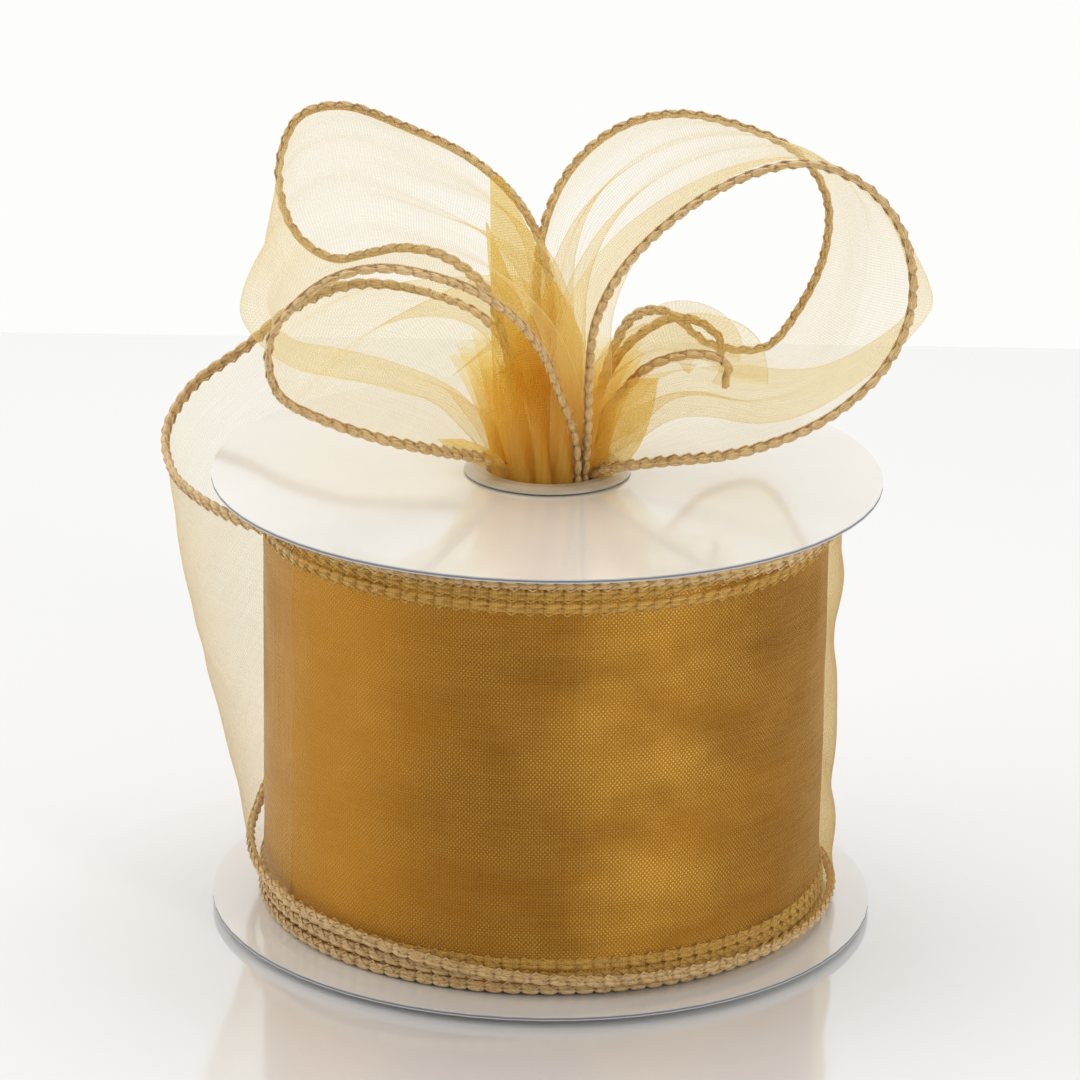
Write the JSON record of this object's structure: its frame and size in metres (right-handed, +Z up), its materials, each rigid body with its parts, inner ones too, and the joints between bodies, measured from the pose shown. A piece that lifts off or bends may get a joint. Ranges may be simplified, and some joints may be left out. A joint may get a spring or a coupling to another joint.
{
  "type": "ribbon spool with bow",
  "caption": "Spool of wide wire-edged organza ribbon, its free end looped into a bow that plugs into the spool's core and lifts out, so the ribbon unwinds.",
  "frame": {"origin": "on the spool's axis, at the plane the core tube's lower rolled rim stands on", "axes": "+Z up along the spool's axis; -Y is the side the bow's loops open towards; the free ribbon leaves the roll on the -X side"},
  "size_m": [0.1173, 0.1034, 0.1275],
  "materials": {
    "coated_board": "gloss coated white paperboard",
    "core_paper": "coated paperboard tube",
    "clear_tape": "clear adhesive tape",
    "gold_organza_wound": "gold organza in many layers",
    "gold_organza_sheer": "sheer gold organza",
    "wired_edge_thread": "overlocked tan thread over a fine wire"
  },
  "bodies": {
    "spool": {"core_tube": "core_paper", "bottom_flange": "coated_board", "top_flange": "coated_board", "starter_tape": "clear_tape", "ribbon_roll": "gold_organza_wound", "roll_upper_wired_edge": "wired_edge_thread", "roll_lower_wired_edge": "wired_edge_thread"},
    "free_ribbon": {"outer_turn": "gold_organza_sheer", "outer_turn_upper_edge": "wired_edge_thread", "outer_turn_lower_edge": "wired_edge_thread", "free_run": "gold_organza_sheer", "free_run_upper_edge": "wired_edge_thread", "free_run_lower_edge": "wired_edge_thread"},
    "bow": {"bow_stem": "gold_organza_wound", "left_loop": "gold_organza_sheer", "left_loop_front_edge": "wired_edge_thread", "left_loop_back_edge": "wired_edge_thread", "right_loop": "gold_organza_sheer", "right_loop_front_edge": "wired_edge_thread", "right_loop_back_edge": "wired_edge_thread", "ribbon_end": "gold_organza_sheer", "ribbon_end_front_edge": "wired_edge_thread", "ribbon_end_back_edge": "wired_edge_thread"}
  },
  "joints": [
    {"name": "unwind", "type": "hinge", "parent": "spool", "child": "free_ribbon", "pos_m": [0, 0, 0.034], "axis": [0, 0, 1], "continuous": true},
    {"name": "bow_lift", "type": "slide", "parent": "free_ribbon", "child": "bow", "axis": [0, 0, 1], "range_m": [0, 0.028]}
  ]
}
